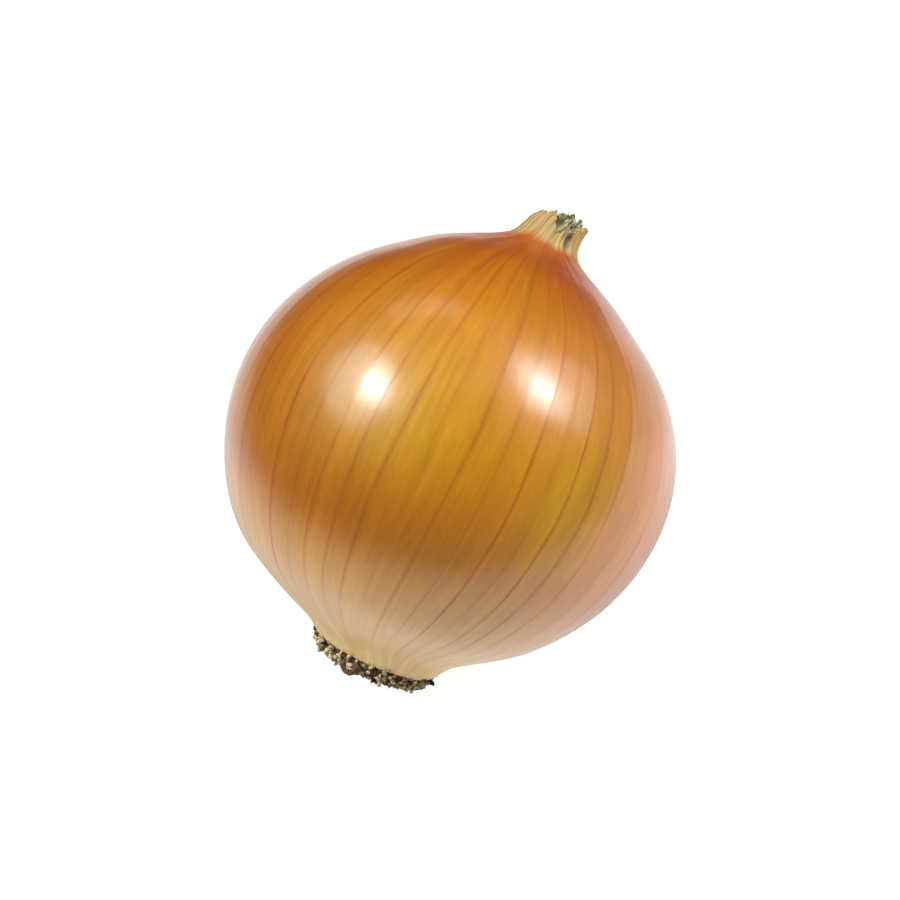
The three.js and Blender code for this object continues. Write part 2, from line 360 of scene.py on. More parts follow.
@dataclass(frozen=True)
class DrySkinFinish:
    """Dry outer scale of a brown onion: a thin, waxy, translucent sheet over pale flesh.

    It dried in place, so its surface is glassy across the veins and finely grooved along them.
    """

    name: str = "dry_onion_skin"
    height_span: Pair = (-40.0, 46.0)
    # Colours up the bulb. The palest ones at the roots are partly the skin's own colour and partly
    # a painted reflection of the white table.
    height_colours: tuple[Stop, ...] = (
        (-39, "E8CE90"), (-31, "D8AA58"), (-23, "C2882C"), (-14, "AE5E06"), (-2, "B05E07"),
        (10, "B6680A"), (20, "B26C0C"), (28, "A85C0A"), (36, "963F08"), (40, "A45A20"),
    )
    golden: str = "B4840E"
    russet: str = "8E3E06"
    cloud: str = "AE740A"
    rubbed: str = "D6944C"
    vein: str = "923608"
    straw: tuple[Stop, ...] = (
        (0.3, "6E5228"), (0.42, "9A7A40"), (0.52, "B29860"), (0.62, "BAA676"), (0.75, "8C7038"),
    )
    stain: str = "4E2A28"

    def ground(self, tree: Tree, marks: dict[str, Socket], grain: Socket) -> Socket:
        """Colours the sheet, before its fibres and veins; its pale root end is partly painted
        reflection.

        Args:
            tree: the material's node tree.
            marks: the skin's own marks by name.
            grain: a place on the skin as it would be if it were a tube, in millimetres.

        Returns:
            The colour.
        """
        # From straw at the roots through amber to a red-brown shoulder. The pale straw at the roots
        # is partly the skin's own paler colour and partly a painted reflection of the white table.
        low, high = self.height_span
        tall = remap(tree, marks["height"], self.height_span)
        ramp = add_node(tree, "ValToRGB", links={"Fac": tall})
        set_ramp(ramp, [((mm - low) / (high - low), colour) for mm, colour in self.height_colours])
        colour = tinted(tree, ramp.outputs["Color"], self.golden, marks["golden"])
        colour = tinted(tree, colour, self.russet, marks["russet"])
        # Broad clouds of yellower skin, 20 to 30 mm across.
        clouds = remap(tree, noise(tree, grain, 0.045, 2.0), (0.4, 0.66), (0.0, 0.3))
        return tinted(tree, colour, self.cloud, clouds)

    def toned(self, tree: Tree, colour: Socket, grain: Socket, stretched: Socket,
              fibres: Socket) -> Socket:
        """Lays the light and dark of fibres, bands and mottles over a colour.

        Args:
            tree: the material's node tree.
            colour: the colour of the sheet.
            grain: a place on the skin, in millimetres.
            stretched: the same place drawn out along the fibres.
            fibres: the pattern of fibres.

        Returns:
            The colour with its tones and rubbed flecks.
        """
        bands = noise(tree, stretched, 0.22, 2.0)
        # Mottles 2 mm across, and rubbed flecks where the skin shows paler.
        drawn = add_node(tree, "VectorMath", {"operation": "MULTIPLY", "[1]": (1.0, 0.3, 1.0)},
                         {"0": grain}).outputs[0]
        mottles = noise(tree, drawn, 0.6, 3.0, 0.7)
        shade = product(
            tree,
            remap(tree, fibres, (0.3, 0.7), (0.92, 1.07)),
            remap(tree, bands, (0.3, 0.7), (0.92, 1.07)),
            remap(tree, mottles, (0.35, 0.65), (0.94, 1.06)),
        )
        toned = add_node(tree, "VectorMath", {"operation": "SCALE"}, {"0": colour, "3": shade})
        flecks = remap(tree, mottles, (0.64, 0.76), (0.0, 0.18))
        return tinted(tree, toned.outputs[0], self.rubbed, flecks)

    def sleeved(self, tree: Tree, marks: dict[str, Socket], colour: Socket, fibres: Socket,
                bare: Socket) -> Socket:
        """Adds the veins to the skin's colour, and the bare sleeve above its torn edge.

        Args:
            tree: the material's node tree.
            marks: the skin's own marks by name.
            colour: the colour of the skin between its veins.
            fibres: the pattern of fibres.
            bare: how far the sleeve shows, from 0 to 1.

        Returns:
            The whole surface's colour.
        """
        # Veins are red-brown threads in the skin.
        vein_share = add_node(tree, "Math", {"operation": "MULTIPLY", "[1]": 0.85},
                              {"0": marks["vein"]}).outputs[0]
        veined = tinted(tree, colour, self.vein, vein_share)
        # The sleeve is straw-coloured leaf base, stained brown at its tear.
        straw = add_node(tree, "ValToRGB", links={"Fac": fibres})
        set_ramp(straw, self.straw)
        stained = tinted(tree, straw.outputs["Color"], self.stain, marks["stain"])
        return add_node(tree, "Mix", {"data_type": "RGBA"},
                        {"0": bare, "6": veined, "7": stained}).outputs[2]

    def material(self) -> bpy.types.Material:
        """Makes the skin: colours by height, grain, veins, and a waxy gloss.

        Returns:
            The material.
        """
        made, tree = new_material(self.name)
        marks = {name: add_node(tree, "Attribute", {"attribute_name": name}).outputs["Fac"]
                 for name in ("height", "vein", "sleeve", "golden", "russet", "stain", "wax")}
        grain = add_node(tree, "Attribute", {"attribute_name": "grain"}).outputs["Vector"]

        # Fibres run along the bulb: 0.4 mm wide where it is widest and some 20 mm long.
        stretched = add_node(tree, "VectorMath", {"operation": "MULTIPLY",
                                                  "[1]": (1.0, 0.03, 1.0)}, {"0": grain}).outputs[0]
        fibres = noise(tree, stretched, 1.3, 4.0, 0.6)
        ragged = add_node(tree, "Math", {"operation": "ADD"},
                          {"0": marks["sleeve"], "1": fibres}).outputs[0]
        bare = remap(tree, ragged, (0.65, 1.4))
        colour = self.toned(tree, self.ground(tree, marks, grain), grain, stretched, fibres)
        colour = self.sleeved(tree, marks, colour, fibres, bare)

        # Grooves between the fibres, a few hundredths of a millimetre deep.
        bump = add_node(tree, "Bump", {"[Strength]": 0.35, "[Distance]": 0.00006},
                        {"Height": fibres})
        rough = remap(tree, fibres, (0.3, 0.7), (0.38, 0.48))
        sleeve_rough = add_node(tree, "Mix", {"data_type": "FLOAT", "[3]": 0.7},
                                {"0": bare, "2": rough}).outputs[0]
        # A coat of wax gives the sharp reflection, and the fibres under it the wide soft one.
        # The wax is thin on the veins and has worn off the sleeve.
        covered = remap(tree, bare, (0.0, 1.0), (0.9, 0.05))
        off_vein = remap(tree, marks["vein"], (0.0, 1.0), (1.0, 0.5))
        wax = product(tree, covered, product(tree, marks["wax"], off_vein))
        shader = add_node(tree, "BsdfPrincipled", {
            "[IOR]": 1.5, "[Specular IOR Level]": 0.4, "[Coat Roughness]": 0.17,
            "[Coat IOR]": 1.5,
        }, {
            "Base Color": colour, "Roughness": sleeve_rough, "Normal": bump.outputs[0],
            "Coat Weight": wax,
        })
        add_node(tree, "OutputMaterial", links={"Surface": shader.outputs[0]})
        return made


@dataclass(frozen=True)
class MottledFinish:
    """Matt dead tissue: each end has its own tone, with mottles under a millimetre across.

    The mottles are given per metre. They darken or lighten a tone by up to the spread, and
    stand out by the relief, in metres.
    """

    name: str
    tones: tuple[Stop, ...]
    mottles: float
    detail: float
    grain_contrast: float
    spread: float
    relief: float
    relief_strength: float
    roughness: float
    specular: float

    def material(self) -> bpy.types.Material:
        """Makes the material, which reads each corner's tone.

        Returns:
            The material.
        """
        made, tree = new_material(self.name)
        tone = add_node(tree, "Attribute", {"attribute_name": "tone"}).outputs["Fac"]
        place = add_node(tree, "TexCoord").outputs["Object"]
        mottle = noise(tree, place, self.mottles, self.detail, self.grain_contrast)
        change = remap(tree, mottle, (0.3, 0.7), (-self.spread, self.spread))
        mixed = add_node(tree, "Math", {"operation": "ADD", "use_clamp": True},
                         {"0": tone, "1": change}).outputs[0]
        colours = add_node(tree, "ValToRGB", links={"Fac": mixed})
        set_ramp(colours, self.tones)
        bump = add_node(tree, "Bump", {"[Strength]": self.relief_strength,
                                       "[Distance]": self.relief}, {"Height": mottle})
        shader = add_node(tree, "BsdfPrincipled",
                          {"[Roughness]": self.roughness, "[Specular IOR Level]": self.specular},
                          {"Base Color": colours.outputs["Color"], "Normal": bump.outputs[0]})
        add_node(tree, "OutputMaterial", links={"Surface": shader.outputs[0]})
        return made


@dataclass(frozen=True)
class DeadRootFinish(MottledFinish):
    """Dead basal plate and roots: dry corky tissue, matt and mottled cream, green-grey, brown."""

    name: str = "dead_onion_root"
    tones: tuple[Stop, ...] = (
        (0.0, "DCC6A4"), (0.15, "D0C29C"), (0.32, "B4AE88"), (0.48, "8E8A66"),
        (0.62, "705540"), (0.8, "4C3626"), (1.0, "261B12"),
    )
    mottles: float = 1600.0
    detail: float = 4.0
    grain_contrast: float = 0.65
    spread: float = 0.22
    relief: float = 0.0002
    relief_strength: float = 0.6
    roughness: float = 0.9
    specular: float = 0.25


@dataclass(frozen=True)
class DriedLeafFinish(MottledFinish):
    """Dried leaf ends cut off in the neck: thin papery edges, grey-green with brown fibres. Its
    darkest tones also serve as painted shade down in the socket.
    """

    name: str = "dried_onion_leaf"
    tones: tuple[Stop, ...] = (
        (0.0, "DED8B6"), (0.28, "B8B892"), (0.48, "8E9472"), (0.68, "6A6A4C"),
        (0.85, "4A2C22"), (1.0, "2A1612"),
    )
    mottles: float = 1300.0
    detail: float = 3.0
    grain_contrast: float = 0.5
    spread: float = 0.25
    relief: float = 0.00015
    relief_strength: float = 0.5
    roughness: float = 0.8
    specular: float = 0.3


Finish = DrySkinFinish | MottledFinish


def make_object(name: str, points: np.ndarray, faces: list[tuple[int, ...]],
                attributes: dict[str, np.ndarray], finish: Finish) -> bpy.types.Object:
    """Makes a smooth-shaded mesh object with point attributes and a finish.

    Args:
        name: the piece's name.
        points: corners in the world, in metres.
        faces: corner numbers of each face, outward faces anticlockwise.
        attributes: one number or vector for each corner, by name.
        finish: the finish, which makes the material.

    Returns:
        The object, linked into the scene.
    """
    mesh = bpy.data.meshes.new(name)
    mesh.from_pydata(points.tolist(), [], faces)
    for label, values in attributes.items():
        vector = values.ndim == 2
        made = mesh.attributes.new(label, "FLOAT_VECTOR" if vector else "FLOAT", "POINT")
        made.data.foreach_set("vector" if vector else "value",
                              np.ascontiguousarray(values, np.float32).ravel())
    mesh.polygons.foreach_set("use_smooth", np.ones(len(mesh.polygons), bool))
    mesh.materials.append(finish.material())
    mesh.update()
    thing = bpy.data.objects.new(name, mesh)
    bpy.context.scene.collection.objects.link(thing)
    return thing


@dataclass(frozen=True)
class Patch:
    """A soft-edged place on the skin of another colour: degrees round, mm up, and reach."""

    longitude: float
    height: float
    half_width: float
    half_height: float
    strength: float

    def share(self, longitude: np.ndarray, height: np.ndarray) -> np.ndarray:
        """How far each place is in the patch.

        Args:
            longitude: radians round the bulb.
            height: millimetres up its axis.

        Returns:
            A share from 0 to the patch's strength.
        """
        away = longitude - math.radians(self.longitude)
        away = np.degrees(np.arctan2(np.sin(away), np.cos(away))) / self.half_width
        above = (height - self.height) / self.half_height
        return self.strength * np.exp(-(away**2) - above**2)


@dataclass(frozen=True)
class SkinGrid:
    """The skin's corners before their relief: rows up the bulb, and columns round it.

    Radius, height and outside have one value a row, and outside is 1 there or 0 inside. Within
    is a column's place in its vein's cell, from -0.5 to 0.5 with the vein at 0. Column is the
    longitude of a straight column, and longitude is that of each corner on its wandering one.
    """

    radius: np.ndarray
    height: np.ndarray
    outside: np.ndarray
    within: np.ndarray
    column: np.ndarray
    longitude: np.ndarray
    phase: np.ndarray
    size: np.ndarray
    faint_size: np.ndarray


@dataclass
class Skin:
    """The bulb's dry skin, from the edge of the root plate up over the lip of the neck."""

    growth: Growth
    finish: DrySkinFinish = field(default_factory=DrySkinFinish)
    seed: int = 11
    veins: int = 26
    vein_turn: float = math.radians(0.3)
    vein_drift: tuple[Wave, ...] = ((4, 0.4, 0.02), (7, 2.9, 0.022))
    vein_wander: float = 0.006
    vein_half_width: float = 0.04
    faint_vein_half_width: float = 0.045
    vein_sizes: Pair = (0.5, 1.0)
    faint_vein_sizes: Pair = (0.2, 0.8)
    lobes: tuple[Wave, ...] = ((2, 0.6, 0.15), (3, 2.4, 0.15), (5, 1.1, 0.08))
    column_shares: tuple[float, ...] = (
        -0.5, -0.475, -0.44, -0.36, -0.27, -0.17, -0.06, -0.025,
        0.0, 0.025, 0.06, 0.17, 0.27, 0.36, 0.44, 0.475,
    )
    neck_radius: float = 4.9
    neck_top: float = 44.2
    sleeve_wall: float = 1.0
    socket_floor: float = 37.6
    skin_edge_radius: float = 11.5
    skin_edge: float = -39.4
    recess_radius: float = 10.8
    recess_floor: float = -37.4
    shoulder_radius: float = 25.0
    taper_radius: float = 27.0
    pleat_start: float = 32.0
    pleat_height: float = 0.0896
    pleat_waves: tuple[Wave, ...] = (
        (17, 0.5, 0.5), (31, 2.1, 0.5), (37, 4.0, 0.4), (45, 1.2, 0.35),
    )
    crease_height: float = 0.03
    crease_waves: tuple[Wave, ...] = ((61, 0.3, 0.6), (97, 1.7, 0.5), (143, 2.2, 0.3))
    lip_start: float = 38.4
    lip_peaks: tuple[Wave, ...] = ((3, 1.83, 0.45), (8, 0.9, 0.25), (13, 2.3, 0.2))
    lip_teeth: tuple[Wave, ...] = ((29, 0.7, 0.16), (47, 1.9, 0.12), (71, 0.2, 0.08))
    lip_breaks: tuple[tuple[float, float, float], ...] = ((36, 34, 2.2), (66, 14, 2.6))
    torn_edge: float = 39.8
    torn_edge_waves: tuple[Wave, ...] = (
        (2, 0.4, 0.5), (5, 1.3, 0.35), (11, 2.0, 0.3), (23, 0.6, 0.25),
    )
    skin_thickness: float = 0.08
    swell_height: float = 0.008
    golden_patches: tuple[Patch, ...] = (
        Patch(12, 3, 28, 16, 1.0), Patch(58, 1, 15, 15, 0.9), Patch(45, -20, 24, 9, 0.35),
        Patch(150, -4, 30, 26, 0.8), Patch(235, 8, 34, 22, 0.9), Patch(300, -10, 20, 18, 0.5),
    )
    russet_patches: tuple[Patch, ...] = (
        Patch(-32, 27, 34, 13, 0.5), Patch(-40, 10, 20, 16, 0.3), Patch(10, -12, 20, 7, 0.32),
        Patch(120, 20, 40, 16, 0.6),
        Patch(200, 26, 40, 14, 0.8), Patch(262, -16, 30, 14, 0.5),
    )
    stain_longitude: float = math.radians(60)
    stain_half_width: float = math.radians(11)
    stain_share: float = 0.85
    vein_height: float = 0.014
    fibre_height: float = 0.0045
    fibre_waves: tuple[Pair, ...] = ((53, 0.4), (83, 2.2), (113, 4.1))

    def outline(self) -> np.ndarray:
        """The skin's section: rows of radius and height, and which of them are outside.

        Returns:
            Rows of radius, height and 1 outside or 0 inside, without the two poles.
        """
        g = self.growth
        shoulder = math.acos(self.shoulder_radius / g.bulb_radius)
        taper = math.acos(self.taper_radius / g.bulb_radius)
        root_end = spline_points([
            (self.skin_edge_radius, self.skin_edge), (13.5, -37), (17.2, -35), (20.5, -33),
            (self.taper_radius, -g.root_half * math.sin(taper)),
        ], 40)
        angle = np.linspace(-taper, 0, 200)
        root_half = np.stack([g.bulb_radius * np.cos(angle), g.root_half * np.sin(angle)], 1)
        angle = np.linspace(0, shoulder, 200)
        neck_half = np.stack([g.bulb_radius * np.cos(angle), g.neck_half * np.sin(angle)], 1)
        flare = spline_points([
            (self.shoulder_radius, g.neck_half * math.sin(shoulder)), (18.1, 33), (12.4, 36),
            (8.4, 38), (6, 40), (self.neck_radius, self.neck_top),
        ], 40)
        dense = np.vstack([root_end[:-1], root_half[:-1], neck_half[:-1], flare])
        step = 0.2
        dense = evenly(dense, lambda p: np.full(len(p), step))
        towards_neck = smoothstep(-20, -5, dense[:, 1:])
        dense = (soften(dense, step, 2.5) * (1 - towards_neck)
                 + soften(dense, step, 0.7) * towards_neck)
        outside = evenly(dense, lambda p: 0.22 + 0.9 * smoothstep(33, 20, p[:, 1])
                         * smoothstep(-39.6, -34, p[:, 1]))
        inner = self.neck_radius - self.sleeve_wall
        before = np.array([
            (self.recess_radius / 2, self.recess_floor), (self.recess_radius, self.recess_floor),
            (self.recess_radius + 0.05, self.skin_edge + 0.4),
            (self.recess_radius + 0.12, self.skin_edge + 0.06),
            (self.recess_radius + 0.4, self.skin_edge - 0.05),
        ])
        after = np.array(
            [(self.neck_radius - 0.2, self.neck_top + 0.16), (inner + 0.5, self.neck_top + 0.22),
             (inner + 0.2, self.neck_top + 0.16)]
            + [(inner, y) for y in np.linspace(self.neck_top, self.socket_floor, 12)]
        )
        rows = [np.column_stack([part, np.full(len(part), flag)])
                for part, flag in ((before, 0), (outside, 1), (after, 0))]
        return np.vstack(rows)

    def lip_height(self, longitude: np.ndarray) -> np.ndarray:
        """How much higher or lower than the neck's top the lip is.

        Args:
            longitude: radians round the bulb.

        Returns:
            The difference at each longitude, in millimetres.
        """
        lip = ripple(self.lip_peaks, longitude) + ripple(self.lip_teeth, longitude)
        for middle, half_width, depth in self.lip_breaks:
            away = longitude - math.radians(middle)
            away = np.degrees(np.abs(np.arctan2(np.sin(away), np.cos(away))))
            lip = lip - depth * (1 - smoothstep(0, half_width, away))
        return lip

    def grid(self, rng: np.random.Generator) -> SkinGrid:
        """Lays out the skin's corners, with closer columns at each vein.

        Args:
            rng: the source of the veins' irregularities.

        Returns:
            The grid.
        """
        shares = np.array(self.column_shares)
        cell = np.repeat(np.arange(self.veins), len(shares))
        within = np.tile(shares, self.veins)
        column = (cell + within) * 2 * math.pi / self.veins
        rows = self.outline()
        radius, height, outside = rows[:, :1], rows[:, 1:2], rows[:, 2:3]

        # Veins wander a little, each in its own way.
        phase = rng.uniform(0, 2 * math.pi, (self.veins, 3))[cell].T
        size = rng.uniform(*self.vein_sizes, self.veins)[cell]
        wander = self.vein_wander * (
            np.sin(height * 0.11 + phase[0]) + 0.5 * np.sin(height * 0.27 + phase[1]))
        wander = wander * (1 - 2 * np.abs(within)) * smoothstep(-40, -20, height) * outside
        longitude = column + self.vein_turn + ripple(self.vein_drift, column) + wander
        faint = rng.uniform(*self.faint_vein_sizes, self.veins)
        faint_size = np.where(within > 0, faint[cell], np.roll(faint, 1)[cell])
        return SkinGrid(radius, height, outside, within, column, longitude, phase, size, faint_size)

    def veined(self, grid: SkinGrid) -> np.ndarray:
        """Marks the veins, darkest on their own lines, fading and coming back along them.

        Args:
            grid: the skin's corners.

        Returns:
            How dark the vein is at each corner, from 0 to 1.
        """
        away = np.abs(grid.within)
        line = np.clip(1 - away / self.vein_half_width, 0, None)
        faint_line = np.clip(1 - (0.5 - away) / self.faint_vein_half_width, 0, None)
        along = 0.75 + 0.25 * (np.sin(grid.height * 0.35 + grid.phase[2])
                               * np.sin(grid.height * 0.13 + grid.phase[0]))
        along = along * (0.3 + 0.7 * smoothstep(-38, -24, grid.height))
        return (line * grid.size * along + faint_line * grid.faint_size * along) * grid.outside

    def relief(self, grid: SkinGrid) -> np.ndarray:
        """Raises the belly's lobes, the veins, the fibres and the neck's pleats.

        Args:
            grid: the skin's corners.

        Returns:
            How far each corner stands out of the plain outline, in millimetres.
        """
        height, within, column = grid.height, grid.within, grid.column
        neck = smoothstep(self.pleat_start, self.neck_top, height)
        belly = smoothstep(self.skin_edge_radius, 0.7 * self.growth.bulb_radius, grid.radius)
        swell = self.swell_height * (1 - neck) * np.cos(2 * math.pi * within)
        thread = self.vein_height * (1 - neck) * grid.size * np.exp(
            -((within / self.vein_half_width) ** 2))
        pleat = self.pleat_height * neck * (
            np.cos(2 * math.pi * within) + ripple(self.pleat_waves, column))
        crease = self.crease_height * neck * ripple(self.crease_waves, column)
        fibre = (1 - neck) * sum(
            self.fibre_height * np.sin(waves * column + turn + 1.5 * np.sin(height * 0.06 + turn))
            for waves, turn in self.fibre_waves)
        lobes = belly * ripple(self.lobes, grid.longitude)
        return lobes + grid.outside * (swell + thread + pleat + crease + fibre)

    def coloured(self, grid: SkinGrid) -> dict[str, np.ndarray]:
        """Marks where the wax, the patches of colour and the sleeve's stain are.

        Args:
            grid: the skin's corners.

        Returns:
            A share from 0 to 1 for each corner, by the mark's name.
        """
        height, longitude = grid.height, grid.longitude
        wax = smoothstep(-38.5, -28, height) * (1 - 0.8 * smoothstep(32, 38, height))
        off = longitude - self.stain_longitude
        off = np.arctan2(np.sin(off), np.cos(off)) / self.stain_half_width
        return {
            "wax": wax * grid.outside,
            "golden": sum(patch.share(longitude, height) for patch in self.golden_patches),
            "russet": sum(patch.share(longitude, height) for patch in self.russet_patches),
            "stain": self.stain_share * np.exp(-(off**2)) * smoothstep(40.0, 43.0, height),
        }

    def build(self) -> bpy.types.Object:
        """Makes the skin's mesh with its veins, pleats, torn edge and ragged lip.

        Returns:
            The skin, dressed.
        """
        grid = self.grid(np.random.default_rng(self.seed))
        height, longitude, outside = grid.height, grid.longitude, grid.outside

        # Above its worn edge the skin is gone, and the sleeve below it shows.
        above = height - self.torn_edge - ripple(self.torn_edge_waves, longitude)
        worn = self.skin_thickness * smoothstep(-0.3, 0.3, above) * outside
        sleeve = np.where(outside > 0, smoothstep(-2.4, 1.6, above), (height > 0) * 1.0)

        lift = np.clip((height - self.lip_start) / (self.neck_top - self.lip_start), 0, 1)
        risen = height + lift * self.lip_height(longitude)
        everywhere = risen + 0 * longitude
        points = self.growth.round_axis(
            grid.radius + (self.relief(grid) - worn), everywhere, longitude)
        grain = self.growth.round_axis(
            np.full_like(longitude, self.growth.bulb_radius), everywhere, longitude)

        count, around = longitude.shape
        poles = np.array([[0, self.recess_floor, 0], [0, self.socket_floor, 0]], float)
        world = self.growth.to_world(np.vstack([points.reshape(-1, 3), poles]))
        world[:, 2] = np.maximum(world[:, 2], 0.0)
        faces = grid_faces(count, around)
        first, last = count * around, count * around + 1
        top = (count - 1) * around
        for i in range(around):
            after = (i + 1) % around
            faces.append((first, after, i))
            faces.append((last, top + i, top + after))
        marks = {"height": risen, "vein": self.veined(grid), "sleeve": sleeve}
        marks.update(self.coloured(grid))
        attributes = {name: np.concatenate([(values + 0 * longitude).ravel(), [0, 1]])
                      for name, values in marks.items()}
        attributes["grain"] = np.vstack([grain.reshape(-1, 3), poles])
        skin = make_object("onion_skin", world, faces, attributes, self.finish)
        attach(skin, "root")
        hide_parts("bulb")
        LOG.info("skin: %d rows of %d, %d faces", count, around, len(faces))
        return skin


def grid_faces(rows: int, columns: int) -> list[tuple[int, ...]]:
    """Four-cornered faces of a grid that closes on itself across its columns.

    Args:
        rows: rows of corners.
        columns: corners in a row.

    Returns:
        The corner numbers of each face.
    """
    faces = []
    for row in range(rows - 1):
        for i in range(columns):
            after = (i + 1) % columns
            low, high = row * columns, (row + 1) * columns
            faces.append((low + i, low + after, high + after, high + i))
    return faces


class Bunch:
    """Gathers many small closed pieces into one mesh, with a tone for each."""

    def __init__(self) -> None:
        """Starts an empty bunch."""
        self.points: list[np.ndarray] = []
        self.faces: list[tuple[int, ...]] = []
        self.tones: list[np.ndarray] = []
        self.count = 0

    def add(self, rings: np.ndarray, tone: np.ndarray) -> None:
        """Adds a tube or strip given as rings of corners, and closes its two ends.

        Args:
            rings: an array of rings, corners in a ring, and x, y, z in the bulb's frame.
            tone: the tone of each ring.
        """
        steps, sides = rings.shape[:2]
        start = self.count
        self.points.append(rings.reshape(-1, 3))
        self.tones.append(np.repeat(tone, sides))
        self.faces += [tuple(start + i for i in face) for face in grid_faces(steps, sides)]
        self.faces.append(tuple(start + i for i in reversed(range(sides))))
        self.faces.append(tuple(start + (steps - 1) * sides + i for i in range(sides)))
        self.count += steps * sides

    def object(self, name: str, growth: Growth, finish: Finish) -> bpy.types.Object:
        """Makes the bunch one dressed object.

        Args:
            name: the piece's name.
            growth: the bulb's frame.
            finish: the finish of the whole bunch.

        Returns:
            The object.
        """
        world = growth.to_world(np.vstack(self.points))
        world[:, 2] = np.maximum(world[:, 2], growth.clearance * MM)
        return make_object(name, world, self.faces, {"tone": np.concatenate(self.tones)}, finish)


def tube(path: np.ndarray, radii: np.ndarray, sides: int, knobs: np.ndarray) -> np.ndarray:
    """Rings of corners round a path.

    Args:
        path: points along the middle.
        radii: the tube's radius at each point.
        sides: corners in a ring.
        knobs: how far each corner of each ring stands in or out, as a share of the radius.

    Returns:
        An array of rings, corners and x, y, z.
    """
    ahead = np.gradient(path, axis=0)
    ahead /= np.linalg.norm(ahead, axis=1, keepdims=True)
    helper = np.array([0.0, 0.0, 1.0]) if abs(ahead[0, 2]) < 0.8 else np.array([1.0, 0.0, 0.0])
    across = np.cross(ahead, helper)
    across /= np.linalg.norm(across, axis=1, keepdims=True)
    third = np.cross(ahead, across)
    turn = np.linspace(0, 2 * math.pi, sides, endpoint=False)
    reach = radii[:, None] * (1 + knobs)
    return (path[:, None] + reach[..., None] * (
        np.cos(turn)[None, :, None] * across[:, None] + np.sin(turn)[None, :, None] * third[:, None]
    ))


